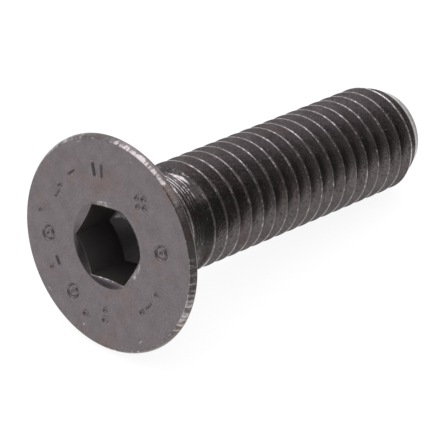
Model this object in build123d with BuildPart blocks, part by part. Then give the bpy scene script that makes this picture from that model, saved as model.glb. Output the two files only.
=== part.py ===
from build123d import *
import os
from math import atan, atan2, ceil, cos, degrees, radians, sin, tan

# A countersunk socket screw, M8 x 30: a 90 degree head with a hexagon socket, a short plain
# neck, and a rolled right-hand thread down to a chamfered point.  It is one piece of steel.
# It is drawn upright, with the head's face at z = 0 and the point at the top, and is then
# laid on its side, where it rests on the rim of its head and on the end of its thread.

# Driving dimensions, in millimetres and degrees.
length = 29.6  # over all, from the face to the point
head_d = 15.5  # widest circle of the head
rim_depth = 0.52  # from the face back to the widest circle
rim_step = 0.23  # from the edge of the face out to the widest circle
seat_angle = 90.0  # full angle of the countersunk seat
neck_d = 7.2  # plain neck, the size of the blank before the thread is rolled
neck_round = 0.4  # fillet between the seat and the neck
neck_length = 1.2  # from the end of the seat to the rise
rise_length = 0.6  # from the neck up to the crests
thread_d = 7.8  # over the crests
pitch = 1.25
thread_depth = 0.42  # of the V groove, kept shallower than the 0.73 that is rolled
thread_start = 2.27  # from the end of the seat to the full depth of the thread
socket_size = 5.14  # across the flats of the hexagon
socket_depth = 3.4  # down to where the corners of the hexagon end
socket_turn = 24.1  # from the top of the lying screw round to a corner
socket_end_angle = 120.0  # full angle of the cone that ends the socket
mouth_d = 6.2  # countersink at the mouth of the socket
mouth_angle = 130.0  # full angle of that countersink
point_d = 6.2  # flat end of the point
point_length = 1.7  # chamfer of the point
outline_turn = 22.5  # from the top of the lying screw round to where its outline is drawn
tool_margin = 0.05  # how far the cutting shapes stand out of the metal

# Radii, and the heights where the outline turns.
head_r = head_d / 2
face_r = head_r - rim_step
neck_r = neck_d / 2
thread_r = thread_d / 2
mouth_r = mouth_d / 2
point_r = point_d / 2
seat_end = rim_depth + (head_r - neck_r) / tan(radians(seat_angle / 2))
neck_end = seat_end + neck_length
point_start = length - point_length

# The thread: crests an eighth of the pitch wide, and a V groove between them.  The groove
# is cut three turns at a time, until it runs out past the point.
crest_width = pitch / 8
root_r = thread_r - thread_depth
flank_slope = (pitch - crest_width) / 2 / thread_depth
full_depth = seat_end + thread_start
turns_a_cut = 3
cut_height = turns_a_cut * pitch
cuts = ceil((length + pitch - full_depth) / cut_height)
stock_end = full_depth + (cuts + 1) * cut_height


def groove_section(foot_r, foot_z):
    """V section of the groove, with its foot at radius foot_r and height foot_z."""
    reach = thread_depth + tool_margin
    half_top = reach * flank_slope
    with BuildSketch(Plane.XZ) as section:
        with BuildLine():
            Polyline(
                (foot_r, foot_z),
                (foot_r + reach, foot_z + half_top),
                (foot_r + reach, foot_z - half_top),
                close=True,
            )
        make_face()
    return section.sketch


thread_grooves = []
for cut in range(cuts):
    foot_z = full_depth + cut * cut_height
    with BuildPart() as thread_groove:
        with BuildLine() as helix:
            Helix(pitch=pitch, height=cut_height, radius=root_r, center=(0, 0, foot_z))
        sweep(groove_section(root_r, foot_z), path=helix.line, is_frenet=True)
    thread_grooves.append(thread_groove.part)

# In the turn before, the groove sinks in along a cone, from just clear of the neck.  A
# conical helix measures its pitch along the cone.
lead_r = neck_r + tool_margin
lead_slope = atan((lead_r - root_r) / pitch)
with BuildPart() as lead_groove:
    with BuildLine() as helix:
        Helix(
            pitch=pitch / cos(lead_slope),
            height=pitch,
            radius=lead_r,
            center=(0, 0, full_depth - pitch),
            cone_angle=-degrees(lead_slope),
        )
    sweep(groove_section(lead_r, full_depth - pitch), path=helix.line, is_frenet=True)

# What comes off the end of the threaded stock to leave the point.
with BuildPart() as point_waste:
    with BuildSketch(Plane.XZ):
        with BuildLine():
            Polyline(
                (point_r, length),
                (2 * thread_r - point_r, point_start - point_length),
                (2 * thread_r, point_start - point_length),
                (2 * thread_r, stock_end + pitch),
                (0, stock_end + pitch),
                (0, length),
                close=True,
            )
        make_face()
    revolve(axis=Axis.Z)

# The socket: a hexagon that ends in a cone, and a countersunk mouth.
corner_r = socket_size / 2 / cos(radians(30))
end_slope = tan(radians(socket_end_angle / 2))
socket_end = socket_depth + corner_r / end_slope
with BuildPart() as socket:
    with BuildSketch():
        RegularPolygon(socket_size / 2, 6, major_radius=False, rotation=socket_turn)
    extrude(amount=socket_end)
    with BuildSketch(Plane.XZ):
        with BuildLine():
            Polyline(
                (0, 0),
                (2 * corner_r, 0),
                (2 * corner_r, socket_depth - corner_r / end_slope),
                (0, socket_end),
                close=True,
            )
        make_face()
    revolve(axis=Axis.Z, mode=Mode.INTERSECT)
    with BuildSketch(Plane.XZ):
        with BuildLine():
            Polyline((0, 0), (mouth_r, 0), (0, mouth_r / tan(radians(mouth_angle / 2))), close=True)
        make_face()
    revolve(axis=Axis.Z)

with BuildPart() as upright_screw:
    with BuildSketch(Plane.XZ.rotated((0, 0, outline_turn))) as outline:
        with BuildLine():
            TangentArc((head_r, rim_depth), (face_r, 0), tangent=(0, -1))
            Polyline((face_r, 0), (0, 0), (0, stock_end), (thread_r, stock_end))
            Polyline(
                (thread_r, stock_end),
                (thread_r, neck_end + rise_length),
                (neck_r, neck_end),
                (neck_r, seat_end),
                (head_r, rim_depth),
            )
        make_face()
        fillet(outline.vertices().sort_by_distance((neck_r, 0, seat_end))[0], radius=neck_round)
    revolve(axis=Axis.Z)
    add(thread_grooves, mode=Mode.SUBTRACT)
    add(lead_groove.part, mode=Mode.SUBTRACT)
    add(point_waste.part, mode=Mode.SUBTRACT)
    add(socket.part, mode=Mode.SUBTRACT)

# On its side, the screw touches the ground with the rim of its head and with the thread
# where the point begins.  Its face looks down the -X axis, and the origin is on the ground,
# in the middle under it.
tilt = atan2(head_r - thread_r, point_start - rim_depth)
back_x = -face_r * sin(tilt)
front_x = length * cos(tilt) + point_r * sin(tilt)
lying = Plane(
    origin=(-(back_x + front_x) / 2, 0, rim_depth * sin(tilt) + head_r * cos(tilt)),
    x_dir=(sin(tilt), 0, cos(tilt)),
    z_dir=(cos(tilt), 0, -sin(tilt)),
)
with BuildPart(lying) as countersunk_screw:
    add(upright_screw.part)
countersunk_screw.part.label = "countersunk_screw"

os.makedirs("parts", exist_ok=True)
export_step(countersunk_screw.part, "parts/countersunk_screw.step")
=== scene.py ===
"""A countersunk socket screw with its rolled thread, its finish and a small studio.

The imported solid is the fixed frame.  The detailed screw stands for it and keeps its size and
its place.  Lengths in the shape functions are in millimetres and angles in radians.
"""

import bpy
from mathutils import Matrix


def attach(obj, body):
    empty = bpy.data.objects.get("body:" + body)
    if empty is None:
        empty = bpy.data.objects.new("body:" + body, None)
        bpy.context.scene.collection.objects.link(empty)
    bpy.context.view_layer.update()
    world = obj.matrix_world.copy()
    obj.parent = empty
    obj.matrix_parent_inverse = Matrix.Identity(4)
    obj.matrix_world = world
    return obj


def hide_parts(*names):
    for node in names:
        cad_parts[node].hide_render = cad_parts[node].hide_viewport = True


bl_info = {
    "name": "Countersunk socket screw",
    "version": (1, 0, 0),
    "blender": (4, 5, 0),
    "location": "3D View > Sidebar > Screw",
    "description": "Builds a detailed countersunk socket screw and a studio to look at it in",
    "category": "Object",
}

from math import atan2, cos, pi, radians, sin, sqrt, tan
from typing import NamedTuple

import bpy
import numpy as np
from bpy.props import FloatProperty, FloatVectorProperty, IntProperty, PointerProperty
from mathutils import Matrix, Vector

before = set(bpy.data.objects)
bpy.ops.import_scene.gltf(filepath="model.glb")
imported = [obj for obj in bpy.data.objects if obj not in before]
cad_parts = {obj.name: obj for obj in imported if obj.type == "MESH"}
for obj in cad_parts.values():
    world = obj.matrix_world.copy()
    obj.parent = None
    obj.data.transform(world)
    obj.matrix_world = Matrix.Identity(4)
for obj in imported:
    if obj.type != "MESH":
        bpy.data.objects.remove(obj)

NODE = "countersunk_screw"
MM = 0.001  # metres in a millimetre
TURN = 2 * pi
HAIR = 1e-6  # mm, within which two depths are the same


# --- What a user would change ------


def length_prop(name, description, millimetres):
    """A length property, given in millimetres and stored in metres."""
    return FloatProperty(
        name=name,
        description=description,
        default=millimetres * MM,
        min=0.0,
        unit="LENGTH",
        subtype="DISTANCE",
        precision=5,
    )


def angle_prop(name, description, value):
    """An angle property, given in degrees."""
    return FloatProperty(
        name=name, description=description, default=radians(value), unit="ROTATION", subtype="ANGLE"
    )


def colour_prop(name, description, value):
    """A linear colour property."""
    return FloatVectorProperty(
        name=name, description=description, default=value, size=3, min=0.0, max=1.0, subtype="COLOR"
    )


def factor_prop(name, description, value):
    """A number from 0 to 1."""
    return FloatProperty(
        name=name, description=description, default=value, min=0.0, max=1.0, subtype="FACTOR"
    )


class ScrewSizes(bpy.types.PropertyGroup):
    """Sizes of the screw."""

    length: length_prop("Length", "Over all, from the face to the point", 29.6)
    head_diameter: length_prop("Head diameter", "Widest circle of the head", 15.5)
    rim_depth: length_prop("Rim depth", "From the face back to the widest circle", 0.52)
    rim_step: length_prop("Rim step", "From the edge of the face out to the widest circle", 0.23)
    edge_round: length_prop("Edge round", "Round between the face and the rim", 0.1)
    back_round: length_prop("Back round", "Round between the rim and the seat", 0.10)
    neck_diameter: length_prop("Neck diameter", "Plain neck behind the head", 7.2)
    neck_round: length_prop("Neck round", "Fillet between the seat and the neck", 0.4)
    neck_length: length_prop("Neck length", "From the end of the seat to the rise", 1.2)
    rise_length: length_prop("Rise length", "From the neck up to the crests", 0.6)
    thread_diameter: length_prop("Thread diameter", "Over the crests", 7.8)
    root_diameter: length_prop("Root diameter", "Bottom of the groove", 6.36)
    pitch: length_prop("Pitch", "From crest to crest", 1.25)
    thread_start: length_prop("Thread start", "From the end of the seat to the full depth", 2.27)
    point_diameter: length_prop("Point diameter", "Flat end of the point", 6.2)
    point_length: length_prop("Point length", "Chamfer of the point", 1.7)
    socket_size: length_prop("Socket size", "Across the flats of the hexagon", 5.14)
    socket_depth: length_prop("Socket depth", "Down to the end of the corners", 3.4)
    socket_turn: angle_prop("Socket turn", "From the top of the screw to a corner", 24.1)
    mouth_diameter: length_prop("Mouth diameter", "Countersink at the socket's mouth", 6.2)
    mouth_angle: angle_prop("Mouth angle", "Full angle of that countersink", 130.0)
    stamp_depth: length_prop("Stamp depth", "Depth of the marks in the face", 0.12)
    columns: IntProperty(
        name="Columns",
        description="Columns of faces round the screw, in sixes",
        default=20,
        min=6,
        max=40,
    )


class ScrewFinish(bpy.types.PropertyGroup):
    """Colours and finish of the steel."""

    oxide: colour_prop("Oxide", "Black oxide on the face", (0.177, 0.155, 0.163))
    brown: colour_prop("Brown oxide", "Thin brownish patches", (0.185, 0.130, 0.115))
    deep: colour_prop(
        "Deep oxide", "Oxide behind the face and in the socket", (0.125, 0.110, 0.110)
    )
    bare: colour_prop("Bare steel", "Crests, edges and scuffs", (0.50, 0.46, 0.465))
    face_roughness: factor_prop("Face roughness", "Of the oxide on the face", 0.38)
    mouth_roughness: factor_prop("Mouth roughness", "Of the socket's countersink", 0.20)
    rim_roughness: factor_prop("Rim roughness", "Of the oxide on the rim", 0.24)
    shank_roughness: factor_prop("Shank roughness", "Of the oxide behind the rim", 0.12)
    pit_depth: length_prop("Pit depth", "Of the fine pits in the flanks", 0.010)


class StudioSettings(bpy.types.PropertyGroup):
    """Floor, walls, lamps and camera."""

    floor: colour_prop("Floor", "Colour of the floor", (0.97, 0.97, 0.97))
    floor_glow: factor_prop("Floor glow", "Share of plain white in what is seen of the floor", 0.90)
    wall: colour_prop("Wall", "Pale side of the room, along +Y", (0.56, 0.53, 0.58))
    window: colour_prop("Window", "Brightest part of the pale side", (1.0, 0.97, 1.0))
    room: colour_prop("Room", "Dim side of the room", (0.235, 0.225, 0.225))
    focal_length: FloatProperty(
        name="Focal length", description="Of the camera, in mm", default=301.2, min=1.0
    )


# --- Shapes ------------------------


def arc(centre, radius, start, end, count):
    """Points on a circle of the given centre and radius, from one angle to the other: radius
    out is the centre's radius plus radius times the cosine, depth the centre's depth plus
    radius times the sine."""
    angles = np.linspace(start, end, count)
    return np.stack(
        (centre[0] + radius * np.cos(angles), centre[1] + radius * np.sin(angles)), axis=1
    )


def line(start, end, count):
    """Points in even steps on a straight line between two points."""
    steps = np.linspace(0.0, 1.0, count)[:, None]
    return np.asarray(start) * (1 - steps) + np.asarray(end) * steps


def smooth_step(low, high, value):
    """0 below low, 1 above high, and 3 t squared minus 2 t cubed between."""
    t = np.clip((value - low) / (high - low), 0.0, 1.0)
    return t * t * (3 - 2 * t)


def bell(angle, centre, width):
    """A bell curve round the axis, 1 at the centre angle, both given in degrees."""
    away = (angle - radians(centre) + pi) % TURN - pi
    return np.exp(-((away / radians(width)) ** 2))


def bells(angle, curves):
    """The sum of bell curves round the axis, each given as height, centre and width."""
    return sum(height * bell(angle, centre, width) for height, centre, width in curves)


def worn(points, wear):
    """The points, each a radius and a depth, with how worn the steel is as a third column."""
    return np.column_stack((points, np.broadcast_to(wear, len(points))))


class Skin:
    """Rings of vertices and the faces between them, put together as whole arrays."""

    def __init__(self):
        self.points, self.wear, self.faces, self.parts, self.count = [], [], [], [], 0

    def ring(self, radius, depth, angle, wear=0.0):
        """New vertices at radius, depth and angle, which are arrays of one shape, with their
        wear.  Returns their numbers in that shape."""
        radius, depth, angle, wear = np.broadcast_arrays(radius, depth, angle, wear)
        flat = np.stack((radius * np.cos(angle), radius * np.sin(angle), depth), axis=-1)
        numbers = self.count + np.arange(radius.size).reshape(radius.shape)
        self.points.append(flat.reshape(-1, 3))
        self.wear.append(wear.ravel())
        self.count += radius.size
        return numbers

    def quads(self, a, b, c, d, part):
        """Quads from four arrays of vertex numbers, in one slot or each in its own.  A corner
        that is the same vertex as the one before makes a triangle, and a face with fewer than
        three corners is left out."""
        corners = np.stack([np.ravel(x) for x in (a, b, c, d)], axis=1)
        parts = np.broadcast_to(part, np.shape(a)).ravel()
        fresh = corners != np.roll(corners, 1, axis=1)
        sides = fresh.sum(axis=1)
        crossed = (corners[:, 0] == corners[:, 2]) | (corners[:, 1] == corners[:, 3])
        four, three = (sides == 4) & ~crossed, (sides == 3) & ~crossed
        bent = corners[three][fresh[three]].reshape(-1, 3)
        self.faces += [corners[four], bent]
        self.parts += [parts[four], parts[three]]

    def rows(self, grid, part):
        """Closed bands between the rows of a grid of vertex numbers."""
        after = np.roll(grid, -1, axis=1)
        self.quads(grid[:-1], after[:-1], after[1:], grid[1:], part)

    def cap(self, ring, point, part, inner=False):
        """Triangles from a ring to one vertex.  inner is for a ring that follows the vertex."""
        after = np.roll(ring, -1)
        centre = np.full(ring.shape, point)
        if inner:
            self.quads(centre, centre, after, ring, part)
        else:
            self.quads(ring, after, centre, centre, part)

    def widen(self, few, many, part, after=True):
        """Between a ring and one that has a whole number of times as many vertices, and comes
        after it or else before it: a fan at each vertex of the smaller ring, and a triangle
        between one fan and the next."""
        times = len(many) // len(few)
        steps = [np.roll(many, times // 2 - k)[::times] for k in range(times + 1)]
        triangles = [(few, second, first) for first, second in zip(steps, steps[1:])]
        triangles.append((few, np.roll(few, -1), steps[-1]))
        for a, b, c in triangles:
            if after:
                self.quads(a, a, b, c, part)
            else:
                self.quads(c, c, b, a, part)

    def mesh(self, name, place):
        """The mesh, with its points carried from the screw's own frame by place, a 4 by 4
        matrix, and put in metres, and with the wear as an attribute."""
        points = np.concatenate(self.points) @ np.array(place.to_3x3()).T * MM
        points += np.array(place.translation) * MM
        sizes = np.concatenate([np.full(len(f), f.shape[1]) for f in self.faces])
        corners = np.concatenate([f.ravel() for f in self.faces])
        mesh = bpy.data.meshes.new(name)
        mesh.vertices.add(len(points))
        mesh.vertices.foreach_set("co", points.ravel())
        mesh.loops.add(len(corners))
        mesh.loops.foreach_set("vertex_index", corners.astype(np.int32))
        mesh.polygons.add(len(sizes))
        mesh.polygons.foreach_set("loop_start", (np.cumsum(sizes) - sizes).astype(np.int32))
        mesh.polygons.foreach_set("material_index", np.concatenate(self.parts).astype(np.int32))
        mesh.update(calc_edges=True)
        if mesh.validate():
            raise RuntimeError(f"{name}: the mesh had faults")
        mesh.polygons.foreach_set("use_smooth", np.ones(len(sizes), dtype=bool))
        wear = mesh.attributes.new("wear", "FLOAT", "POINT")
        wear.data.foreach_set("value", np.concatenate(self.wear).astype(np.float32))
        return mesh


FACE, RIM, NECK, THREAD, MOUTH, SOCKET = range(6)  # material slots of the screw

# Plain marks in the face: kind, angle round the face from the top in degrees, and radius and
# size in millimetres.
RING, DOT, DASH, SPOKE = range(4)
MARKS = (
    (SPOKE, 340.5, 5.36, 0.42),
    (SPOKE, 348.5, 5.30, 0.42),
    (DOT, 31.6, 5.42, 0.26),
    (DOT, 31.6, 4.56, 0.22),
    (DOT, 26.4, 5.00, 0.22),
    (DOT, 36.8, 5.02, 0.26),
    (RING, 74.1, 5.02, 0.60),
    (DOT, 110.6, 5.07, 0.20),
    (DASH, 124.1, 5.07, 0.26),
    (DOT, 134.2, 5.09, 0.24),
    (DOT, 175.4, 5.47, 0.36),
    (DOT, 175.6, 4.76, 0.24),
    (DOT, 193.6, 5.86, 0.30),
    (RING, 210.6, 5.30, 0.58),
    (DASH, 236.6, 5.14, 0.30),
    (DOT, 233.7, 5.94, 0.18),
    (RING, 257.6, 5.50, 0.60),
    (DOT, 272.3, 6.30, 0.14),
    (DASH, 293.2, 5.30, 0.30),
    (DOT, 299.9, 5.43, 0.18),
    (DASH, 317.0, 5.54, 0.26),
)
RING_RADIUS = 0.78  # in sizes of the mark
RING_LINE = 0.07  # mm, half the width of the circle's line
RING_DOT = 0.10  # mm, radius of the dot in it
DOT_RADIUS = 0.7  # in sizes of the mark
STROKE_LINE = 0.06  # mm, half the width of a dash or a spoke
MARK_SOFT = 0.07  # mm, how far to either side of its edge a mark sinks in
LIP_AWAY, LIP_WIDTH = 0.13, 0.05  # mm, of the lip round a mark
LIP_HEIGHT = 0.22  # in depths of the mark
LIP_WEAR = 0.42


def mark_field(x, y):
    """How deep a mark is at each point of the face and how much of a lip is round it, both
    from 0 to 1: soft steps of the distance to a circle with a dot in it, to a dot, or to a
    short line along or across the round of the face."""
    deep = np.zeros_like(x)
    lip = np.zeros_like(x)
    for kind, angle, radius, size in MARKS:
        a = radians(angle)
        dx, dy = x - radius * cos(a), y - radius * sin(a)
        outward = dx * cos(a) + dy * sin(a)
        across = -dx * sin(a) + dy * cos(a)
        from_middle = np.hypot(dx, dy)
        if kind == RING:
            circle = np.abs(from_middle - size * RING_RADIUS) - RING_LINE
            away = np.minimum(circle, from_middle - RING_DOT)
        elif kind == DOT:
            away = from_middle - size * DOT_RADIUS
        elif kind == DASH:
            away = np.hypot(np.maximum(np.abs(across) - size, 0.0), outward) - STROKE_LINE
        else:
            away = np.hypot(np.maximum(np.abs(outward) - size, 0.0), across) - STROKE_LINE
        deep = np.maximum(deep, 1.0 - smooth_step(-MARK_SOFT, MARK_SOFT, away))
        lip = np.maximum(lip, np.exp(-(((away - LIP_AWAY) / LIP_WIDTH) ** 2)))
    return deep, lip * (1.0 - deep)


# Small shapes, in mm.
CREST_ROUND = 0.03  # round of the edges of the crests
WALL_BEND = 0.06  # width of the round between the socket's walls and its mouth
MOUTH_LIP = 0.03  # width of the round between the mouth and the face
PLAIN_RINGS = (3.35, 3.75)  # radii on the face inside the band of marks
MARK_BAND = (4.25, 6.5)  # radii of that band, which has finer rows and columns
MARK_ROWS = 44
MARK_COLUMNS = 5  # columns of the band to one elsewhere
EDGE_FROM = 6.75  # radius of the first ring outside the band
NECK_STEP = 0.03  # from one row of the neck to the next
HELIX_LEAD = 1.06  # pitches before the full depth, where rows begin to follow the helix
NECK_RINGS = (0.24, 0.50, 0.74, 0.98, 1.22, 1.44)  # ridges, from the end of the seat
RIDGE_WIDTH, RIDGE_HEIGHT = 0.05, 0.028
RIDGES_START, RIDGES_END = (0.16, 0.26), (1.48, 1.62)  # where they set in and leave off
DISH = np.array([[2.95, 0.0], [2.4, 0.02], [1.6, 0.05], [0.8, 0.07]])  # radii and depths
DISH_MIDDLE = 0.08

# Wear is 0 where the oxide is whole and 1 where the steel is bare, and below 0 the oxide is
# darker, which is painted shade.  A list goes across a surface, row by row.  Bare steel also
# stands for painted highlights and glints, set in the tables below.
CREST_WEAR = (0.0, 0.2, 0.49, 0.47)  # from the flank to the flat of the crest
FACE_EDGE_WEAR = (0.0, 0.05, 0.12, 0.22)  # on the face, out to its edge
EDGE_ROUND_WEAR = (0.2, 0.3, 0.4, 0.35)  # over the round between the face and the rim
RIM_WEAR, BACK_EDGE_WEAR, SEAT_WEAR, NECK_ROUND_WEAR = 0.12, 1.0, 0.1, 0.75
# Across the rim's rows: bare chipped spots on the front rows, set where its highlight falls, so
# partly a painted highlight; darker oxide on the back rows, which is painted shade.
RIM_CHIP_AND_SHADE_ROWS = np.array([0.4, 0.6, 0.65, 0.65, 0.65, 0.6, 0.4, 0.0, -0.5, -0.7])  # added to it
RIDGE_WEAR, RISE_WEAR, POINT_WEAR = 0.95, 0.25, 0.3
POINT_EDGE_WEAR, POINT_END_WEAR = 0.6, 0.1
# For the cone that ends the socket and for its mouth: share of the way out, and wear.  On the cone
# this wear only shapes its painted glint across the rows.
CONE_ROWS = ((0.12, 0.0), (0.35, 0.1), (0.65, 0.6), (0.92, 0.6), (0.985, 0.2), (1.0, 0.0))
MOUTH_ROWS = ((0.0, 0.1), (0.3, 0.1), (0.65, 0.1), (1.0, 0.2))

# Where round the axis the wear rises or falls: bell curves, each with its height, and its
# centre and width in degrees from the top.  They are set where the screw is lit or in shade,
# so they paint light and shade: bare steel where a highlight falls, darker oxide where shade falls.
# The rim's chipped spots, set where its highlight falls: partly wear, partly a painted highlight.
CHIPS_AND_HIGHLIGHT = ((1.0, 18, 25),)  # the rim, where its chips are
# The rim's sides: lighter at 100 and -42 degrees, darker oxide at 58 degrees; partly rubbing,
# partly painted light and shade.
RIM_RUBBED_LIGHT_AND_SHADE = ((0.44, 100, 42), (-0.45, 58, 18), (0.3, -42, 28))
# The neck's rings: an even half of wear, and a painted highlight on the side where the lamps catch
# them.
RINGS_RUBBED_AND_HIGHLIGHT = ((0.5, 12, 26),)  # the neck, over an even half
# The socket's end cone: a painted glint of bare steel, and painted shade.
CONE_PAINTED_GLINT = ((1.0, 277, 15),)
CONE_PAINTED_SHADE = ((-0.45, 225, 24),)
# The mouth: lighter and darker by angle, which paints the light and shade of its chamfer, and a
# painted glint of bare steel on its inner edge.
MOUTH_PAINTED_LIGHT_AND_SHADE = ((0.42, -12, 22), (0.48, 110, 26), (0.2, 52, 22), (-0.7, 250, 28))
MOUTH_PAINTED_SHADE = ((-0.8, 176, 34),)
MOUTH_GLINT = ((0.5, 174, 30), (0.4, 204, 4), (0.4, 144, 4))  # its inner edge

# Nicks by the edge of the face: row of the head's profile, and angle from the top in degrees.
NICKS = ((0, 193), (0, 139), (1, 148), (2, 221), (3, -28), (1, 12))
NICK_WEAR, NICK_WIDTH = 0.8, 1.8  # the width in degrees


def thread_sections(sizes):
    """One pitch of the thread: place, in pitches from the middle of the groove, radius and
    wear.  The crest is flat over an eighth of the pitch with small rounds, the flanks stand
    30 degrees from square, and the root is an arc that both flanks run into."""
    pitch, crest_r, root_r = sizes["pitch"], sizes["thread_r"], sizes["root_r"]
    steep = tan(radians(60))
    half_crest = pitch / 16
    run = CREST_ROUND * tan(radians(30))
    foot = pitch / 2 - half_crest
    apex = crest_r - foot * steep
    root_arc = root_r - apex
    join = root_arc * cos(radians(30))
    crest_centre = (half_crest - run, crest_r - CREST_ROUND)
    crest = arc(crest_centre, CREST_ROUND, pi / 2, radians(30), len(CREST_WEAR))
    crest[:, 0] = pitch / 2 - crest[:, 0]
    flank_end = np.array((join, apex + join * steep))
    flank = np.stack([crest[-1] + (flank_end - crest[-1]) * share for share in (0.09, 0.5)])
    root = arc((0.0, root_r + root_arc), root_arc, radians(-30), radians(-90), 4)
    half = np.concatenate(
        (worn(root[::-1], 0.0), worn(flank[::-1], 0.0), worn(crest[::-1], CREST_WEAR))
    )
    mirrored = half[1:][::-1] * (-1, 1, 1) + (pitch, 0, 0)
    top = np.array([[pitch / 2, crest_r, CREST_WEAR[-1]]])
    whole = np.concatenate((half, top, mirrored))
    return whole[:, 0] / pitch, whole[:, 1], whole[:, 2]


def neck_rings(depth, sizes):
    """How far the neck stands in at a depth, and how much of a ridge is there, from 0 to 1.
    The ridges are bell curves, with the metal between them a little lower."""
    along = depth - sizes["seat_end"]
    ridges = [np.exp(-(((along - place) / RIDGE_WIDTH) ** 2)) for place in NECK_RINGS]
    ridge = np.max(ridges, axis=0)
    inside = smooth_step(*RIDGES_START, along) * (1 - smooth_step(*RIDGES_END, along))
    return RIDGE_HEIGHT * inside * (1 - ridge), ridge * inside


def ring_shine(angle):
    """How far the rings of the neck are rubbed bright, by the angle round the axis: evenly half all
    round, which is wear, and more where their highlight falls, which is a painted highlight.
    """
    return 0.5 + bells(angle, RINGS_RUBBED_AND_HIGHLIGHT)


def limit_radius(depth, sizes):
    """The largest radius at a depth behind the fillet: the neck, the rise to the crests, the
    crests, and the chamfer of the point."""
    rise = (depth - sizes["neck_end"]) / sizes["rise_length"]
    body = sizes["neck_r"] + (sizes["thread_r"] - sizes["neck_r"]) * np.clip(rise, 0.0, 1.0)
    taper = (depth - sizes["point_start"]) / (sizes["length"] - sizes["point_start"])
    point = sizes["thread_r"] + (sizes["point_r"] - sizes["thread_r"]) * taper
    return np.minimum(body, point)


def add_socket(skin, sizes, few):
    """The socket, from the tip of its end cone to the edge of the face.  The hexagon's radius
    at an angle is half its size over the cosine of the angle from the nearest flat.  Returns
    the ring at the edge of the face."""
    flat_r = sizes["socket_size"] / 2
    corner_r = flat_r / cos(pi / 6)
    end_slope = tan(radians(60))
    mouth_slope = tan(sizes["mouth_angle"] / 2)
    off_flat = (few - sizes["socket_turn"]) % (pi / 3) - pi / 6
    hexagon = flat_r / np.cos(off_flat)

    # The cone that ends it, from its tip, with its painted glint and painted shade.
    out, rubbed = np.array(CONE_ROWS).T[:, :, None]
    cone_depth = sizes["socket_depth"] + (corner_r - out * hexagon) / end_slope
    cone_wear = rubbed * bells(few, CONE_PAINTED_GLINT) + bells(few, CONE_PAINTED_SHADE)
    cone = skin.ring(out * hexagon, cone_depth, few, cone_wear)
    tip = skin.ring(0.0, sizes["socket_depth"] + corner_r / end_slope, 0.0)
    skin.cap(cone[0], int(tip), SOCKET, inner=True)

    # The six walls, and the round over which they bend into the mouth, which carries a painted
    # glint.
    mouth_depth = (sizes["mouth_r"] - hexagon) / mouth_slope
    low, high = cone_depth[-1], mouth_depth + WALL_BEND
    up = np.array([0.02, 0.3, 0.7, 0.94, 1.0])[:, None]
    walls = skin.ring(hexagon, low + (high - low) * up, few)
    glint = bells(few, MOUTH_GLINT)
    bend = skin.ring(
        hexagon + 0.3 * WALL_BEND, mouth_depth + 0.25 * WALL_BEND, few, 0.1 + glint
    )

    # The mouth, whose inner edge follows the hexagon, and its lip, with painted light and shade
    # round them.
    out, even = np.array(MOUTH_ROWS).T[:, :, None]
    inner_edge = hexagon + WALL_BEND
    mouth_r = inner_edge + (sizes["mouth_r"] - MOUTH_LIP - inner_edge) * out
    mouth_shade = bells(few, MOUTH_PAINTED_SHADE)
    mouth_light_and_shade = bells(few, MOUTH_PAINTED_LIGHT_AND_SHADE) + mouth_shade
    mouth_wear = even + mouth_light_and_shade
    mouth_wear[0] += glint - mouth_shade
    mouth_wear[1] += 0.6 * glint
    mouth = skin.ring(mouth_r, (sizes["mouth_r"] - mouth_r) / mouth_slope, few, mouth_wear)
    lip_r = sizes["mouth_r"] + 0.1 * MOUTH_LIP
    lip = skin.ring(lip_r, 0.12 * MOUTH_LIP, few, 0.3 + mouth_light_and_shade)
    first = skin.ring(sizes["mouth_r"] + MOUTH_LIP, 0.0, few, 0.3)
    skin.rows(np.concatenate((cone, walls, bend[None])), SOCKET)
    skin.rows(np.concatenate((bend[None], mouth, lip[None], first[None])), MOUTH)
    return first


def head_profile(sizes):
    """Radius, depth and wear from the face over the rim and the seat to the neck: a small
    round, the round of the rim, a sharper round where the seat begins, the straight seat and
    the fillet.  Also the rows where the rim and the seat begin, and how many rows behind the
    fillet are the neck's."""
    head_r, rim_depth, step = sizes["head_r"], sizes["rim_depth"], sizes["rim_step"]
    big = (step**2 + rim_depth**2) / (2 * step)
    big_centre = (head_r - big, rim_depth)
    edge = sizes["edge_round"]
    edge_r = big_centre[0] + sqrt((big - edge) ** 2 - (rim_depth - edge) ** 2)
    meet = atan2(edge - rim_depth, edge_r - big_centre[0])
    back = sizes["back_round"]
    back_depth = rim_depth - back * tan(radians(22.5))
    back_from = -np.arcsin((rim_depth - back_depth) / big)
    face = line((EDGE_FROM, 0.0), (edge_r, 0.0), 5)[:-1]
    edge_round = arc((edge_r, edge), edge, -pi / 2, meet, 5)[:-1]
    rim_round = arc(big_centre, big, meet, back_from, 8)
    back_edge = arc((head_r - back, back_depth), back, 0.0, pi / 4, 4)[1:-1]

    seat_end, neck_r, neck_round = sizes["seat_end"], sizes["neck_r"], sizes["neck_round"]
    round_depth = seat_end + neck_round * tan(radians(22.5))
    seat_top = (head_r - back + back * cos(pi / 4), back_depth + back * sin(pi / 4))
    seat_foot = (
        neck_r + neck_round * (1 - cos(pi / 4)),
        round_depth - neck_round * sin(pi / 4),
    )
    seat = line(seat_top, seat_foot, 14)[:-1]
    fillet = arc((neck_r + neck_round, round_depth), neck_round, 1.25 * pi, pi, 9)
    neck_depth = np.arange(round_depth + NECK_STEP, sizes["helix_from"] - 0.01, NECK_STEP)
    neck_depth = np.append(neck_depth, sizes["helix_from"])
    inset, ridge = neck_rings(neck_depth, sizes)
    neck = np.stack((neck_r - inset, neck_depth), axis=1)

    rows = (
        worn(face, FACE_EDGE_WEAR),
        worn(edge_round, EDGE_ROUND_WEAR),
        worn(rim_round, RIM_WEAR),
        worn(back_edge, BACK_EDGE_WEAR),
        worn(seat, SEAT_WEAR),
        worn(fillet, NECK_ROUND_WEAR),
        worn(neck, RIDGE_WEAR * ridge),
    )
    neck_row = sum(len(part) for part in rows[:4])
    return np.concatenate(rows), len(face), neck_row, len(neck)


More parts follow.
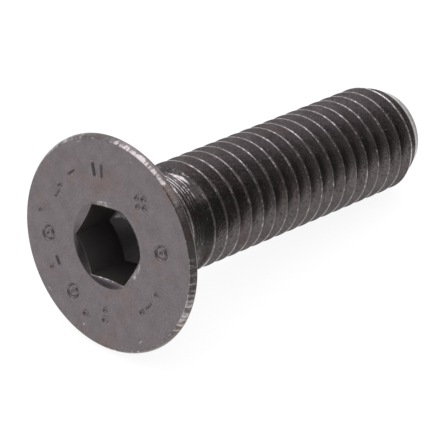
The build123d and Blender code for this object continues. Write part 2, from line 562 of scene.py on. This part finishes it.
def add_thread(skin, sizes, few, start_ring):
    """The thread, the point and its flat end, from the ring where the helix begins.  Rows
    follow the helix: a vertex stands at the start of the full thread plus the pitch times its
    place in turns, and rows that would pass an end stay on its circle."""
    places, radii, rubbed = (values[:-1] for values in thread_sections(sizes))
    pitch, full_depth = sizes["pitch"], sizes["full_depth"]
    low, high = sizes["helix_from"], sizes["length"]
    first = int(np.floor((low - full_depth) / pitch - 2))
    last = int(np.ceil((high - full_depth) / pitch + 1))
    turn = (np.arange(first, last)[:, None] + places).ravel()
    section = np.tile(radii, last - first)[:, None]
    crest_wear = np.tile(rubbed, last - first)[:, None]
    depth = full_depth + pitch * (turn[:, None] + few / TURN)
    middle = depth - pitch * (turn - np.floor(turn + 0.5))[:, None]
    lead = np.clip((full_depth - middle) / pitch, 0.0, 1.0)
    groove = section + (sizes["thread_r"] - sizes["root_r"]) * lead
    groove = np.where(middle < full_depth - pitch, 2 * sizes["thread_r"], groove)
    inset, ridge = neck_rings(depth, sizes)
    limit = limit_radius(depth, sizes) - inset
    radius = np.minimum(groove, limit)

    # The last crest is the most worn.  Where the groove is not cut, the neck's ridges, the
    # rise and the point have their own wear.
    point_start = sizes["point_start"]
    last_crest = point_start + 0.2
    crest_wear = crest_wear * (1 + 0.5 * smooth_step(last_crest - pitch, last_crest - 0.6, depth))
    ridge_wear = RIDGE_WEAR * ridge * ring_shine(few)
    point_wear = POINT_WEAR * smooth_step(point_start, point_start + 0.1, depth)
    rise_start = sizes["neck_end"]
    rise_end = rise_start + sizes["rise_length"]
    on_rise = smooth_step(rise_start, rise_start + 0.2, depth)
    on_rise = on_rise * (1 - smooth_step(rise_end + 0.1, rise_end + 0.3, depth))
    outer_wear = np.max((crest_wear, ridge_wear, point_wear, RISE_WEAR * on_rise), axis=0)
    wear = np.where(groove < limit, crest_wear, outer_wear)

    inside = (depth > low + HAIR) & (depth < high - HAIR)
    numbers = np.where(depth <= low + HAIR, start_ring[None, :], 0)
    end_ring = skin.ring(sizes["point_r"], high, few, POINT_EDGE_WEAR)
    numbers = np.where(depth >= high - HAIR, end_ring[None, :], numbers)
    angles = np.broadcast_to(few, depth.shape)
    numbers[inside] = skin.ring(radius[inside], depth[inside], angles[inside], wear[inside])
    per_turn = len(places)
    here = numbers[:-per_turn]
    beside = np.concatenate((here[:, 1:], numbers[per_turn:, :1]), axis=1)
    behind_rise = depth[: len(here) - 1] > rise_end
    part = np.where(behind_rise, THREAD, NECK)
    skin.quads(here[:-1], beside[:-1], beside[1:], here[1:], part)

    # The end is flat, with a slight dish.
    flat = skin.ring(DISH[:, :1], high - DISH[:, 1:], few, POINT_END_WEAR)
    skin.rows(np.concatenate((end_ring[None], flat)), THREAD)
    skin.cap(flat[-1], int(skin.ring(0.0, high - DISH_MIDDLE, 0.0)), THREAD)


def screw_skin(sizes):
    """The whole skin of the screw, from the bottom of the socket over the face, the rim, the
    seat and the thread to the end of the point.  The face has more columns, where the marks
    are."""
    skin = Skin()
    coarse = sizes["columns"] * 6
    fine = coarse * MARK_COLUMNS
    few = sizes["socket_turn"] + TURN * np.arange(coarse) / coarse
    many = sizes["socket_turn"] + TURN * np.arange(fine) / fine
    mouth = add_socket(skin, sizes, few)
    inner = skin.ring(np.array(PLAIN_RINGS)[:, None], 0.0, few)
    skin.rows(np.concatenate((mouth[None], inner)), FACE)
    band_r = np.linspace(*MARK_BAND, MARK_ROWS)[:, None]
    deep, lip = mark_field(band_r * np.cos(many), band_r * np.sin(many))
    sunk = sizes["stamp_depth"] * (deep - LIP_HEIGHT * lip)
    band = skin.ring(band_r, sunk, many, LIP_WEAR * lip)
    skin.widen(inner[-1], band[0], FACE)
    skin.rows(band, FACE)

    # The chipped spots, the rubbing and the painted light and shade of the rim leave out its bright
    # back edge.
    profile, rim_row, neck_row, neck_rows = head_profile(sizes)
    chips_and_shade = np.zeros((len(profile), 1))
    on_rim = chips_and_shade.copy()
    chips_and_shade[rim_row + 2 : neck_row - 2] = RIM_CHIP_AND_SHADE_ROWS[:, None]
    on_rim[rim_row + 2 : neck_row - 3] = 1.0
    wear = profile[:, 2:] + chips_and_shade * bells(few, CHIPS_AND_HIGHLIGHT) + on_rim * bells(few, RIM_RUBBED_LIGHT_AND_SHADE)
    for row, angle in NICKS:
        wear[row] += NICK_WEAR * bell(few, angle, NICK_WIDTH)
    # The neck rows take the rings' painted highlight too.
    wear[-neck_rows:] *= ring_shine(few)
    outer = skin.ring(profile[:, :1], profile[:, 1:2], few, wear)
    skin.widen(outer[0], band[-1], FACE, after=False)
    skin.rows(outer[: rim_row + 1], FACE)
    skin.rows(outer[rim_row : neck_row + 1], RIM)
    skin.rows(outer[neck_row:], NECK)
    add_thread(skin, sizes, few, outer[-1])
    return skin


def screw_sizes(props):
    """The sizes in millimetres, with the radii and depths that follow from them."""
    plain = {name: getattr(props, name) for name in ("columns", "socket_turn", "mouth_angle")}
    lengths = [name for name in ScrewSizes.__annotations__ if name not in plain]
    sizes = {name: getattr(props, name) / MM for name in lengths}
    for part in ("head", "neck", "thread", "root", "point", "mouth"):
        sizes[part + "_r"] = sizes[part + "_diameter"] / 2
    sizes["seat_end"] = sizes["rim_depth"] + sizes["head_r"] - sizes["neck_r"]
    sizes["neck_end"] = sizes["seat_end"] + sizes["neck_length"]
    sizes["full_depth"] = sizes["seat_end"] + sizes["thread_start"]
    sizes["helix_from"] = sizes["full_depth"] - HELIX_LEAD * sizes["pitch"]
    sizes["point_start"] = sizes["length"] - sizes["point_length"]
    return {**sizes, **plain}


def resting_place(sizes):
    """The frame of the screw as it lies: it touches the ground with its rim and with the end
    of its thread, its face looks along -X, and the origin is in the middle under it."""
    lean = atan2(
        sizes["head_r"] - sizes["thread_r"], sizes["point_start"] - sizes["rim_depth"]
    )
    face_r = sizes["head_r"] - sizes["rim_step"]
    back_x = -face_r * sin(lean)
    front_x = sizes["length"] * cos(lean) + sizes["point_r"] * sin(lean)
    up = Vector((sin(lean), 0.0, cos(lean)))
    ahead = Vector((cos(lean), 0.0, -sin(lean)))
    side = ahead.cross(up)
    place = Matrix((up, side, ahead)).transposed().to_4x4()
    place.translation = Vector(
        (-(back_x + front_x) / 2, 0.0, sizes["rim_depth"] * sin(lean) + sizes["head_r"] * cos(lean))
    )
    return place


# --- Finish ------------------------


def feed(tree, socket, value):
    """Links an output to a socket, or sets the socket to a plain value."""
    if isinstance(value, bpy.types.NodeSocket):
        tree.links.new(value, socket)
    else:
        socket.default_value = value


def maths(tree, operation, *values):
    """The result of a Math node."""
    node = tree.nodes.new("ShaderNodeMath")
    node.operation = operation
    for socket, value in zip(node.inputs, values):
        feed(tree, socket, value)
    return node.outputs[0]


def ramp(tree, value, low, high):
    """0 below low, 1 above high, and a smooth step between."""
    node = tree.nodes.new("ShaderNodeMapRange")
    node.interpolation_type = "SMOOTHSTEP"
    for name, setting in (("Value", value), ("From Min", low), ("From Max", high)):
        feed(tree, node.inputs[name], setting)
    return node.outputs["Result"]


def mix(tree, share, first, second):
    """The colour that is first where share is 0 and second where it is 1."""
    node = tree.nodes.new("ShaderNodeMix")
    node.data_type = "RGBA"
    sockets = (node.inputs[0], node.inputs[6], node.inputs[7])
    for socket, value in zip(sockets, (share, first, second)):
        feed(tree, socket, value)
    return node.outputs[2]


def noise(tree, vector, scale, detail=2.0, roughness=0.5):
    """Cloudy noise from 0 to 1 with about scale bumps to the unit."""
    node = tree.nodes.new("ShaderNodeTexNoise")
    settings = {"Vector": vector, "Scale": scale, "Detail": detail, "Roughness": roughness}
    for name, value in settings.items():
        feed(tree, node.inputs[name], value)
    return node.outputs[0]


def vector_maths(tree, operation, first, second=None, scale=None, output=0):
    """A result of a Vector Math node."""
    node = tree.nodes.new("ShaderNodeVectorMath")
    node.operation = operation
    feed(tree, node.inputs[0], first)
    if second is not None:
        feed(tree, node.inputs[1], second)
    if scale is not None:
        feed(tree, node.inputs["Scale"], scale)
    return node.outputs[output]


def new_group(name, inputs, outputs):
    """An empty node group with the given sockets, each a name and a kind, and the sockets of
    its input and output nodes."""
    group = bpy.data.node_groups.new(name, "ShaderNodeTree")
    for way, sockets in (("INPUT", inputs), ("OUTPUT", outputs)):
        for label, kind in sockets.items():
            group.interface.new_socket(label, in_out=way, socket_type="NodeSocket" + kind)
    start = group.nodes.new("NodeGroupInput")
    end = group.nodes.new("NodeGroupOutput")
    return group, start.outputs, end.inputs


def film_group():
    """Oxide film: clouds of tone a millimetre wide, grain of a tenth, and brownish patches."""
    group, given, result = new_group(
        "Oxide film",
        {
            "Vector": "Vector",
            "Oxide": "Color",
            "Brown": "Color",
            "Clouds": "Float",
            "Grain": "Float",
            "Browning": "Float",
        },
        {"Colour": "Color", "Clouds": "Float"},
    )
    clouds = noise(group, given["Vector"], 0.9, 4.0, 0.6)
    grain = noise(group, given["Vector"], 7.0, 2.0, 0.6)
    patches = ramp(group, noise(group, given["Vector"], 0.33, 3.0, 0.6), 0.50, 0.68)
    browning = maths(group, "MULTIPLY", patches, given["Browning"])
    colour = mix(group, browning, given["Oxide"], given["Brown"])
    swing = maths(group, "SUBTRACT", clouds, 0.5)
    tone = maths(group, "MULTIPLY_ADD", swing, given["Clouds"], 1.0)
    speck = maths(group, "SUBTRACT", grain, 0.5)
    tone = maths(group, "MULTIPLY_ADD", speck, given["Grain"], tone)
    feed(group, result["Colour"], vector_maths(group, "SCALE", colour, scale=tone))
    feed(group, result["Clouds"], clouds)
    return group


def wear_group():
    """Wear: where the film is rubbed off or bare steel paints a highlight, broken up by noise.
    Wear of 0 keeps it whole, and bare steel sets in from 0.42 and is all there is from 0.85."""
    group, given, result = new_group(
        "Wear",
        {"Vector": "Vector", "Wear": "Float", "Break up": "Float"},
        {"Bare": "Float"},
    )
    patchy = noise(group, given["Vector"], 3.2, 3.0, 0.65)
    swing = maths(group, "SUBTRACT", patchy, 0.5)
    level = maths(group, "MULTIPLY_ADD", swing, given["Break up"], given["Wear"])
    feed(group, result["Bare"], ramp(group, level, 0.42, 0.85))
    return group


def pits_group():
    """Pits: small hollows under a tenth of a millimetre wide, close together or sparse."""
    group, given, result = new_group(
        "Pits",
        {"Vector": "Vector", "Scale": "Float", "Spread": "Float"},
        {"Height": "Float", "Hollow": "Float"},
    )
    rough = noise(group, given["Vector"], given["Scale"], 3.0, 0.7)
    edge = maths(group, "MULTIPLY_ADD", given["Spread"], 0.22, 0.30)
    hollow = maths(group, "SUBTRACT", 1.0, ramp(group, rough, 0.28, edge))
    feed(group, result["Height"], maths(group, "MULTIPLY_ADD", hollow, -0.6, rough))
    feed(group, result["Hollow"], hollow)
    return group


def local_position(tree, place):
    """Positions in millimetres in the screw's own frame, from Object coordinates: a Mapping
    node turns and shifts them by the inverse of the resting place."""
    inverse = place.inverted()
    coordinates = tree.nodes.new("ShaderNodeTexCoord")
    mapping = tree.nodes.new("ShaderNodeMapping")
    mapping.inputs["Scale"].default_value = (1 / MM, 1 / MM, 1 / MM)
    mapping.inputs["Rotation"].default_value = inverse.to_euler()
    mapping.inputs["Location"].default_value = inverse.translation
    tree.links.new(coordinates.outputs["Object"], mapping.inputs["Vector"])
    return mapping.outputs["Vector"]


LINES_RADIUS = 7.6  # mm from the axis, near the rim


def lines(tree, local, along, across):
    """Noise drawn out into fine lines.  Along is bumps to the millimetre along the axis and
    out from it, and across bumps to the millimetre round it, taken at the rim's radius."""
    split = tree.nodes.new("ShaderNodeSeparateXYZ")
    tree.links.new(local, split.inputs[0])
    flat = vector_maths(tree, "MULTIPLY", local, (1.0, 1.0, 0.0))
    outward = vector_maths(tree, "LENGTH", flat, output="Value")
    unit = vector_maths(tree, "NORMALIZE", flat)
    round_way = vector_maths(tree, "SCALE", unit, scale=LINES_RADIUS * across)
    steps = tree.nodes.new("ShaderNodeCombineXYZ")
    out_and_down = maths(tree, "ADD", split.outputs["Z"], outward)
    feed(tree, steps.inputs["Z"], maths(tree, "MULTIPLY", out_and_down, along))
    place = vector_maths(tree, "ADD", round_way, steps.outputs[0])
    return noise(tree, place, 1.0, 3.0, 0.6)


class Surface(NamedTuple):
    """The finish of one surface of the screw."""

    name: str
    oxide: str  # the setting that holds its colour
    tone: float  # how much of that colour
    metallic: float
    roughness: str  # the setting that holds it
    clouds: float  # swing of the clouds of tone
    grain: float  # swing of the grain
    browning: float
    pits: tuple  # their scale, and their spread from sparse at 0 to close at 1
    bumps: float  # depth of the bumps, in pit depths
    broken: float  # how far noise breaks up the wear
    grooves: tuple = ()  # lines to the millimetre along and across, and their share in the wear


SURFACES = (
    Surface("Face", "oxide", 1.0, 0.95, "face_roughness", 0.7, 0.8, 0.45, (6.0, 0.2), 0.35, 1.5),
    Surface(
        "Rim", "deep", 1.1, 0.93, "rim_roughness", 0.6, 0.6, 1.0, (5.0, 0.5), 1.0, 1.0,
        (0.3, 3.4, 2.0),
    ),
    Surface(
        "Neck", "deep", 0.38, 0.95, "shank_roughness", 1.2, 1.4, 1.0, (5.0, 0.7), 1.6, 1.1,
        (9.0, 0.4, 0.2),
    ),
    Surface("Thread", "deep", 0.88, 0.92, "shank_roughness", 0.9, 1.2, 0.3, (5.5, 0.6), 1.4, 1.3),
    Surface("Mouth", "oxide", 0.80, 0.95, "mouth_roughness", 0.5, 0.6, 0.3, (6.0, 0.2), 0.35, 1.5),
    # The socket's oxide is toned far darker than elsewhere: painted shade in the recess.
    Surface("Socket", "deep", 0.36, 0.35, "face_roughness", 0.5, 0.5, 0.50, (4.0, 0.3), 0.6, 1.2),
)
HOLLOW_COLOUR = (0.02, 0.016, 0.016, 1.0)  # at the bottom of a pit
HOLLOW_SHARE = 0.45  # how far a pit takes that colour
HOLLOW_ROUGHNESS = 0.15  # what a pit adds
CLOUD_ROUGHNESS = 0.25  # swing that the clouds give it
BARE_SHARE = 0.85  # how far bare steel hides the oxide
GROOVE_HEIGHT = 2.0  # of the lines, next to the pits
DEEP_BROWN = 0.6  # how much of the brown the deep oxide has


def finish_material(surface, finish, groups, place):
    """The material of one surface: oxide film, pits, lines and bare steel where it is worn and
    where a highlight or glint is painted.  Where the wear is below 0, the film's colour is scaled
    down by it, which paints shade."""
    material = bpy.data.materials.new(surface.name + " oxide")
    material.use_nodes = True
    tree = material.node_tree
    shader = tree.nodes["Principled BSDF"]
    shader.inputs["Metallic"].default_value = surface.metallic
    local = local_position(tree, place)

    def placed(group, **values):
        """A group node with its inputs set or linked."""
        node = tree.nodes.new("ShaderNodeGroup")
        node.node_tree = group
        for socket, value in values.items():
            feed(tree, node.inputs[socket.replace("_", " ")], value)
        return node.outputs

    oxide, tone = getattr(finish, surface.oxide), surface.tone
    brown_tone = DEEP_BROWN * tone if surface.oxide == "deep" else tone
    film = placed(
        groups["film"],
        Vector=local,
        Oxide=(*(c * tone for c in oxide), 1.0),
        Brown=(*(c * brown_tone for c in finish.brown), 1.0),
        Clouds=surface.clouds,
        Grain=surface.grain,
        Browning=surface.browning,
    )
    scale, spread = surface.pits
    pits = placed(groups["pits"], Vector=local, Scale=scale, Spread=spread)
    attribute = tree.nodes.new("ShaderNodeAttribute")
    attribute.attribute_name = "wear"
    wear = attribute.outputs["Fac"]
    height = pits["Height"]
    if surface.grooves:
        along, across, share = surface.grooves
        ticks = lines(tree, local, along, across)
        height = maths(tree, "MULTIPLY_ADD", ticks, GROOVE_HEIGHT, height)
        wear = maths(tree, "ADD", wear, maths(tree, "MULTIPLY_ADD", ticks, share, -share / 2))
    worn_off = placed(groups["wear"], Vector=local, Wear=wear, Break_up=surface.broken)["Bare"]

    below = maths(tree, "MINIMUM", attribute.outputs["Fac"], 0.0)
    darker = maths(tree, "ADD", below, 1.0)
    colour = vector_maths(tree, "SCALE", film["Colour"], scale=darker)
    hollow = maths(tree, "MULTIPLY", pits["Hollow"], HOLLOW_SHARE)
    colour = mix(tree, hollow, colour, HOLLOW_COLOUR)
    bare = maths(tree, "MULTIPLY", worn_off, BARE_SHARE)
    colour = mix(tree, bare, colour, (*finish.bare, 1.0))
    tree.links.new(colour, shader.inputs["Base Color"])
    swing = maths(tree, "SUBTRACT", film["Clouds"], 0.5)
    roughness = getattr(finish, surface.roughness)
    level = maths(tree, "MULTIPLY_ADD", swing, CLOUD_ROUGHNESS, roughness)
    level = maths(tree, "MULTIPLY_ADD", pits["Hollow"], HOLLOW_ROUGHNESS, level)
    tree.links.new(level, shader.inputs["Roughness"])
    bump = tree.nodes.new("ShaderNodeBump")
    bump.inputs["Distance"].default_value = finish.pit_depth * surface.bumps
    tree.links.new(height, bump.inputs["Height"])
    tree.links.new(bump.outputs["Normal"], shader.inputs["Normal"])
    return material


# --- Operators ---------------------

SHARP_ANGLE = radians(38)  # between two faces, above which their edge is sharp


class SCREW_OT_body(bpy.types.Operator):
    """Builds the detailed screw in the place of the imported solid"""

    bl_idname = "screw.body"
    bl_label = "Build the screw"

    def execute(self, context):
        sizes = screw_sizes(context.scene.screw_sizes)
        place = resting_place(sizes)
        mesh = screw_skin(sizes).mesh("screw", place)
        mesh.set_sharp_from_angle(angle=SHARP_ANGLE)
        screw = bpy.data.objects.new("screw", mesh)
        context.scene.collection.objects.link(screw)
        groups = {"film": film_group(), "wear": wear_group(), "pits": pits_group()}
        finish = context.scene.screw_finish
        for surface in SURFACES:
            mesh.materials.append(finish_material(surface, finish, groups, place))
        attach(screw, "root")
        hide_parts(NODE)
        return {"FINISHED"}


CAMERA_FROM_FACE = (-151.274, -147.042, 134.981)  # mm, from the middle of the face
CAMERA_AIM = (0.62760, 0.56667, -0.53386)
SENSOR = 36.0  # mm
LAMPS = (  # name, position and side in metres, and power in watts
    ("overhead", (0.05, 0.0, 0.5), 0.9, 3.3),
    ("back", (0.42, 0.18, 0.32), 0.36, 0.6),
)
WHITE = (1.0, 1.0, 1.0, 1.0)
FLOOR_HALF = 5.0  # m
FLOOR_PALE = (-0.020, -0.009)  # m along Y, where the floor turns from dim to pale in the steel
# Where the room changes, by the direction from -1 to 1 along an axis.
ROOM_PALE = (-0.10, 0.10)  # along Y, from dim to pale
ROOM_BEHIND = (-1.0, -0.78)  # along X, from dim to pale
ROOM_WINDOW = (0.1, 0.95)  # along Y, from pale to brightest


def seen_rays(tree):
    """1 for what the camera sees, straight or in a reflection, and 0 for light on surfaces."""
    rays = tree.nodes.new("ShaderNodeLightPath").outputs
    seen = maths(tree, "MAXIMUM", rays["Is Camera Ray"], rays["Is Glossy Ray"])
    return maths(tree, "MAXIMUM", seen, rays["Is Transmission Ray"])


def add_floor(scene, studio):
    """A wide floor that shows as white and still takes the screw's shadow.  In the steel it is
    dim on the side where the room is dim."""
    half = FLOOR_HALF
    plane = bpy.data.meshes.new("floor")
    corners = [(-half, -half, 0), (half, -half, 0), (half, half, 0), (-half, half, 0)]
    plane.from_pydata(corners, [], [(0, 1, 2, 3)])
    floor = bpy.data.objects.new("floor", plane)
    scene.collection.objects.link(floor)
    material = bpy.data.materials.new("Floor")
    material.use_nodes = True
    tree = material.node_tree
    paint = tree.nodes["Principled BSDF"]
    paint.inputs["Base Color"].default_value = (*studio.floor, 1.0)
    paint.inputs["Roughness"].default_value = 0.9
    paint.inputs["Specular IOR Level"].default_value = 0.0
    glow = tree.nodes.new("ShaderNodeEmission")
    split = tree.nodes.new("ShaderNodeSeparateXYZ")
    coordinates = tree.nodes.new("ShaderNodeTexCoord")
    tree.links.new(coordinates.outputs["Object"], split.inputs[0])
    dim = maths(tree, "SUBTRACT", 1.0, ramp(tree, split.outputs["Y"], *FLOOR_PALE))
    glossy = tree.nodes.new("ShaderNodeLightPath").outputs["Is Glossy Ray"]
    dim = maths(tree, "MULTIPLY", dim, glossy)
    colour = mix(tree, dim, WHITE, (*studio.room, 1.0))
    tree.links.new(colour, glow.inputs["Color"])
    blend = tree.nodes.new("ShaderNodeMixShader")
    feed(tree, blend.inputs[0], maths(tree, "MULTIPLY", seen_rays(tree), studio.floor_glow))
    tree.links.new(paint.outputs[0], blend.inputs[1])
    tree.links.new(glow.outputs[0], blend.inputs[2])
    tree.links.new(blend.outputs[0], tree.nodes["Material Output"].inputs["Surface"])
    plane.materials.append(material)


def add_room(scene, studio):
    """The room: as it is seen, dim on the -Y side and at the -X end, and pale on the +Y side,
    where it grows brighter outwards.  As light it is an even white."""
    world = bpy.data.worlds.new("Room")
    scene.world = world
    world.use_nodes = True
    tree = world.node_tree
    coordinates = tree.nodes.new("ShaderNodeTexCoord")
    split = tree.nodes.new("ShaderNodeSeparateXYZ")
    tree.links.new(coordinates.outputs["Generated"], split.inputs[0])
    pale = ramp(tree, split.outputs["Y"], *ROOM_PALE)
    pale = maths(tree, "MULTIPLY", pale, ramp(tree, split.outputs["X"], *ROOM_BEHIND))
    colour = mix(tree, pale, (*studio.room, 1.0), (*studio.wall, 1.0))
    bright = ramp(tree, split.outputs["Y"], *ROOM_WINDOW)
    colour = mix(tree, bright, colour, (*studio.window, 1.0))
    colour = mix(tree, seen_rays(tree), WHITE, colour)
    tree.links.new(colour, tree.nodes["Background"].inputs["Color"])


def add_softbox(scene, name, position, size, power):
    """A square lamp that looks at the origin."""
    lamp = bpy.data.lights.new(name, "AREA")
    lamp.shape, lamp.size, lamp.energy = "SQUARE", size, power
    softbox = bpy.data.objects.new(name, lamp)
    scene.collection.objects.link(softbox)
    softbox.location = position
    softbox.rotation_euler = (-Vector(position)).to_track_quat("-Z", "Y").to_euler()


class SCREW_OT_studio(bpy.types.Operator):
    """Lays the floor and sets the room, the lamps and the camera"""

    bl_idname = "screw.studio"
    bl_label = "Set up the studio"

    def execute(self, context):
        scene, studio = context.scene, context.scene.studio_settings
        scene.view_settings.view_transform = "Standard"
        add_floor(scene, studio)
        add_room(scene, studio)
        for lamp in LAMPS:
            add_softbox(scene, *lamp)

        lens = bpy.data.cameras.new("camera")
        lens.lens, lens.sensor_width = studio.focal_length, SENSOR
        lens.clip_start, lens.clip_end = 0.01, 20.0
        camera = bpy.data.objects.new("camera", lens)
        scene.collection.objects.link(camera)
        face = resting_place(screw_sizes(scene.screw_sizes)).translation
        camera.location = (face + Vector(CAMERA_FROM_FACE)) * MM
        camera.rotation_euler = Vector(CAMERA_AIM).to_track_quat("-Z", "Y").to_euler()
        scene.camera = camera
        return {"FINISHED"}


class SCREW_PT_panel(bpy.types.Panel):
    """Sizes, finish and the steps that build the scene"""

    bl_label = "Countersunk screw"
    bl_idname = "SCREW_PT_panel"
    bl_space_type = "VIEW_3D"
    bl_region_type = "UI"
    bl_category = "Screw"

    def draw(self, context):
        for owner, operator in (
            ("screw_sizes", SCREW_OT_body),
            ("screw_finish", None),
            ("studio_settings", SCREW_OT_studio),
        ):
            box = self.layout.box()
            group = getattr(context.scene, owner)
            for name in type(group).__annotations__:
                box.prop(group, name)
            if operator:
                box.operator(operator.bl_idname)


CLASSES = (
    ScrewSizes,
    ScrewFinish,
    StudioSettings,
    SCREW_OT_body,
    SCREW_OT_studio,
    SCREW_PT_panel,
)


def register():
    """Registers the classes and hangs the settings on the scene."""
    for cls in CLASSES:
        bpy.utils.register_class(cls)
    bpy.types.Scene.screw_sizes = PointerProperty(type=ScrewSizes)
    bpy.types.Scene.screw_finish = PointerProperty(type=ScrewFinish)
    bpy.types.Scene.studio_settings = PointerProperty(type=StudioSettings)


def unregister():
    """Takes the settings and the classes away again."""
    del bpy.types.Scene.studio_settings
    del bpy.types.Scene.screw_finish
    del bpy.types.Scene.screw_sizes
    for cls in reversed(CLASSES):
        bpy.utils.unregister_class(cls)


def main():
    register()
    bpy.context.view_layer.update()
    bpy.ops.screw.body()
    bpy.ops.screw.studio()


if __name__ == "__main__":
    main()
